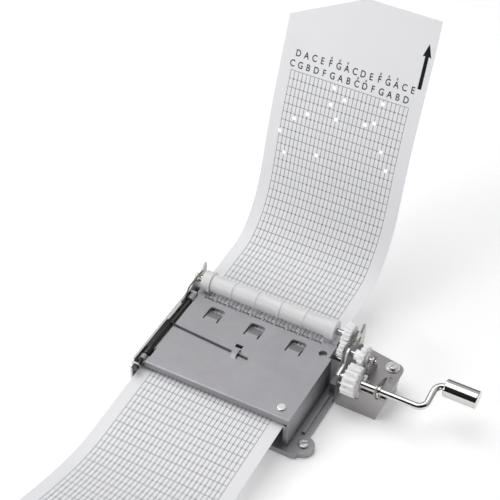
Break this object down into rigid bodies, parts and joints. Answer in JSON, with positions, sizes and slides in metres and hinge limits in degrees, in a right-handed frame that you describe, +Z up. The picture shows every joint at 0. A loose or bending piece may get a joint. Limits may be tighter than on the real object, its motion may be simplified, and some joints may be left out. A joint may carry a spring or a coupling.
{
  "type": "hand crank music box movement",
  "caption": "Hand crank music box movement with a comb, star wheels, feed rollers, a hinged sheet cover, a gear train and a punched paper strip.",
  "frame": {"origin": "on the base casting's underside, below the middle of the paper at the cover's front edge", "axes": "+Z up, +X towards the crank along its shaft, +Y the way the played paper leaves"},
  "size_m": [0.1471, 0.2374, 0.136],
  "materials": {
    "zinc_casting": "matte die-cast zinc",
    "plate_steel": "satin",
    "cover_steel": "nickel plated, satin",
    "bracket_steel": "satin",
    "rivet_steel": "bright",
    "screw_steel": "bright zinc plated",
    "comb_steel": "ground spring steel",
    "lead": "matte",
    "shaft_steel": "bright drawn",
    "star_steel": "satin",
    "dark_wire": "dark spring wire",
    "spring_wire": "spring wire",
    "chrome": "polished nickel chrome",
    "white_plastic": "satin moulded acetal",
    "milky_plastic": "milky translucent",
    "cream_plastic": "moulded",
    "paper": "uncoated card, printed grid"
  },
  "bodies": {
    "root": {"base_casting": "zinc_casting", "left_side_plate": "plate_steel", "right_side_plate": "plate_steel", "gear_bracket": "bracket_steel", "bracket_standoff": "plate_steel", "bracket_washer": "screw_steel", "screws": "screw_steel", "guide_plate": "plate_steel", "hinge_rod": "dark_wire", "roller_bushes": "cream_plastic", "roller_springs": "spring_wire", "comb": "comb_steel", "bass_weights": "lead", "star_shaft": "shaft_steel"},
    "crank": {"crank_rod": "chrome", "crank_gear": "white_plastic", "crank_collar": "chrome"},
    "knob": {"crank_knob": "chrome"},
    "idler": {"idler_gear": "white_plastic", "idler_axle": "shaft_steel", "idler_pinion": "white_plastic"},
    "press_roller": {"roller_sleeve": "milky_plastic", "roller_shaft": "shaft_steel", "roller_gear": "white_plastic"},
    "support_roller": {"support_roller": "shaft_steel"},
    "cover": {"cover_plate": "cover_steel", "cover_rivet": "rivet_steel", "cover_spring": "dark_wire"},
    "paper": {"paper_strip": "paper"},
    "star_01": {"star_wheel_01": "star_steel"},
    "star_02": {"star_wheel_02": "star_steel"},
    "star_03": {"star_wheel_03": "star_steel"},
    "star_04": {"star_wheel_04": "star_steel"},
    "star_05": {"star_wheel_05": "star_steel"},
    "star_06": {"star_wheel_06": "star_steel"},
    "star_07": {"star_wheel_07": "star_steel"},
    "star_08": {"star_wheel_08": "star_steel"},
    "star_09": {"star_wheel_09": "star_steel"},
    "star_10": {"star_wheel_10": "star_steel"},
    "star_11": {"star_wheel_11": "star_steel"},
    "star_12": {"star_wheel_12": "star_steel"},
    "star_13": {"star_wheel_13": "star_steel"},
    "star_14": {"star_wheel_14": "star_steel"},
    "star_15": {"star_wheel_15": "star_steel"},
    "star_16": {"star_wheel_16": "star_steel"},
    "star_17": {"star_wheel_17": "star_steel"},
    "star_18": {"star_wheel_18": "star_steel"},
    "star_19": {"star_wheel_19": "star_steel"},
    "star_20": {"star_wheel_20": "star_steel"},
    "star_21": {"star_wheel_21": "star_steel"},
    "star_22": {"star_wheel_22": "star_steel"},
    "star_23": {"star_wheel_23": "star_steel"},
    "star_24": {"star_wheel_24": "star_steel"},
    "star_25": {"star_wheel_25": "star_steel"},
    "star_26": {"star_wheel_26": "star_steel"},
    "star_27": {"star_wheel_27": "star_steel"},
    "star_28": {"star_wheel_28": "star_steel"},
    "star_29": {"star_wheel_29": "star_steel"},
    "star_30": {"star_wheel_30": "star_steel"}
  },
  "joints": [
    {"name": "crank_turn", "type": "hinge", "parent": "root", "child": "crank", "pos_m": [0.05, 0.0364, 0.0163], "axis": [1, 0, 0], "continuous": true},
    {"name": "knob_spin", "type": "hinge", "parent": "crank", "child": "knob", "pos_m": [0.095, 0.05006, 0.01888], "axis": [1, 0, 0], "continuous": true},
    {"name": "idler_turn", "type": "hinge", "parent": "root", "child": "idler", "pos_m": [0.05, 0.04632, 0.02162], "axis": [1, 0, 0], "continuous": true},
    {"name": "press_roller_turn", "type": "hinge", "parent": "root", "child": "press_roller", "pos_m": [0, 0.05471, 0.022], "axis": [1, 0, 0], "continuous": true},
    {"name": "support_roller_turn", "type": "hinge", "parent": "root", "child": "support_roller", "pos_m": [0, 0.05471, 0.0142], "axis": [1, 0, 0], "continuous": true},
    {"name": "cover_lift", "type": "hinge", "parent": "root", "child": "cover", "pos_m": [-0.0344, 0.025, 0.0187], "axis": [0, -1, 0], "range_deg": [0, 95], "stiffness_Nm_per_rad": 0.02},
    {"name": "paper_feed", "type": "slide", "parent": "root", "child": "paper", "axis": [0, 0.9987, 0.0506], "range_m": [-0.018, 0.022]},
    {"name": "star_01_turn", "type": "hinge", "parent": "root", "child": "star_01", "pos_m": [-0.029, 0.0478, 0.0131], "axis": [1, 0, 0], "continuous": true},
    {"name": "star_02_turn", "type": "hinge", "parent": "root", "child": "star_02", "pos_m": [-0.027, 0.0478, 0.0131], "axis": [1, 0, 0], "continuous": true},
    {"name": "star_03_turn", "type": "hinge", "parent": "root", "child": "star_03", "pos_m": [-0.025, 0.0478, 0.0131], "axis": [1, 0, 0], "continuous": true},
    {"name": "star_04_turn", "type": "hinge", "parent": "root", "child": "star_04", "pos_m": [-0.023, 0.0478, 0.0131], "axis": [1, 0, 0], "continuous": true},
    {"name": "star_05_turn", "type": "hinge", "parent": "root", "child": "star_05", "pos_m": [-0.021, 0.0478, 0.0131], "axis": [1, 0, 0], "continuous": true},
    {"name": "star_06_turn", "type": "hinge", "parent": "root", "child": "star_06", "pos_m": [-0.019, 0.0478, 0.0131], "axis": [1, 0, 0], "continuous": true},
    {"name": "star_07_turn", "type": "hinge", "parent": "root", "child": "star_07", "pos_m": [-0.017, 0.0478, 0.0131], "axis": [1, 0, 0], "continuous": true},
    {"name": "star_08_turn", "type": "hinge", "parent": "root", "child": "star_08", "pos_m": [-0.015, 0.0478, 0.0131], "axis": [1, 0, 0], "continuous": true},
    {"name": "star_09_turn", "type": "hinge", "parent": "root", "child": "star_09", "pos_m": [-0.013, 0.0478, 0.0131], "axis": [1, 0, 0], "continuous": true},
    {"name": "star_10_turn", "type": "hinge", "parent": "root", "child": "star_10", "pos_m": [-0.011, 0.0478, 0.0131], "axis": [1, 0, 0], "continuous": true},
    {"name": "star_11_turn", "type": "hinge", "parent": "root", "child": "star_11", "pos_m": [-0.009, 0.0478, 0.0131], "axis": [1, 0, 0], "continuous": true},
    {"name": "star_12_turn", "type": "hinge", "parent": "root", "child": "star_12", "pos_m": [-0.007, 0.0478, 0.0131], "axis": [1, 0, 0], "continuous": true},
    {"name": "star_13_turn", "type": "hinge", "parent": "root", "child": "star_13", "pos_m": [-0.005, 0.0478, 0.0131], "axis": [1, 0, 0], "continuous": true},
    {"name": "star_14_turn", "type": "hinge", "parent": "root", "child": "star_14", "pos_m": [-0.003, 0.0478, 0.0131], "axis": [1, 0, 0], "continuous": true},
    {"name": "star_15_turn", "type": "hinge", "parent": "root", "child": "star_15", "pos_m": [-0.001, 0.0478, 0.0131], "axis": [1, 0, 0], "continuous": true},
    {"name": "star_16_turn", "type": "hinge", "parent": "root", "child": "star_16", "pos_m": [0.001, 0.0478, 0.0131], "axis": [1, 0, 0], "continuous": true},
    {"name": "star_17_turn", "type": "hinge", "parent": "root", "child": "star_17", "pos_m": [0.003, 0.0478, 0.0131], "axis": [1, 0, 0], "continuous": true},
    {"name": "star_18_turn", "type": "hinge", "parent": "root", "child": "star_18", "pos_m": [0.005, 0.0478, 0.0131], "axis": [1, 0, 0], "continuous": true},
    {"name": "star_19_turn", "type": "hinge", "parent": "root", "child": "star_19", "pos_m": [0.007, 0.0478, 0.0131], "axis": [1, 0, 0], "continuous": true},
    {"name": "star_20_turn", "type": "hinge", "parent": "root", "child": "star_20", "pos_m": [0.009, 0.0478, 0.0131], "axis": [1, 0, 0], "continuous": true},
    {"name": "star_21_turn", "type": "hinge", "parent": "root", "child": "star_21", "pos_m": [0.011, 0.0478, 0.0131], "axis": [1, 0, 0], "continuous": true},
    {"name": "star_22_turn", "type": "hinge", "parent": "root", "child": "star_22", "pos_m": [0.013, 0.0478, 0.0131], "axis": [1, 0, 0], "continuous": true},
    {"name": "star_23_turn", "type": "hinge", "parent": "root", "child": "star_23", "pos_m": [0.015, 0.0478, 0.0131], "axis": [1, 0, 0], "continuous": true},
    {"name": "star_24_turn", "type": "hinge", "parent": "root", "child": "star_24", "pos_m": [0.017, 0.0478, 0.0131], "axis": [1, 0, 0], "continuous": true},
    {"name": "star_25_turn", "type": "hinge", "parent": "root", "child": "star_25", "pos_m": [0.019, 0.0478, 0.0131], "axis": [1, 0, 0], "continuous": true},
    {"name": "star_26_turn", "type": "hinge", "parent": "root", "child": "star_26", "pos_m": [0.021, 0.0478, 0.0131], "axis": [1, 0, 0], "continuous": true},
    {"name": "star_27_turn", "type": "hinge", "parent": "root", "child": "star_27", "pos_m": [0.023, 0.0478, 0.0131], "axis": [1, 0, 0], "continuous": true},
    {"name": "star_28_turn", "type": "hinge", "parent": "root", "child": "star_28", "pos_m": [0.025, 0.0478, 0.0131], "axis": [1, 0, 0], "continuous": true},
    {"name": "star_29_turn", "type": "hinge", "parent": "root", "child": "star_29", "pos_m": [0.027, 0.0478, 0.0131], "axis": [1, 0, 0], "continuous": true},
    {"name": "star_30_turn", "type": "hinge", "parent": "root", "child": "star_30", "pos_m": [0.029, 0.0478, 0.0131], "axis": [1, 0, 0], "continuous": true}
  ],
  "couplings": [
    {"joint": "idler_turn", "follows": "crank_turn", "ratio": -1.2727},
    {"joint": "press_roller_turn", "follows": "crank_turn", "ratio": 0.70707}
  ]
}
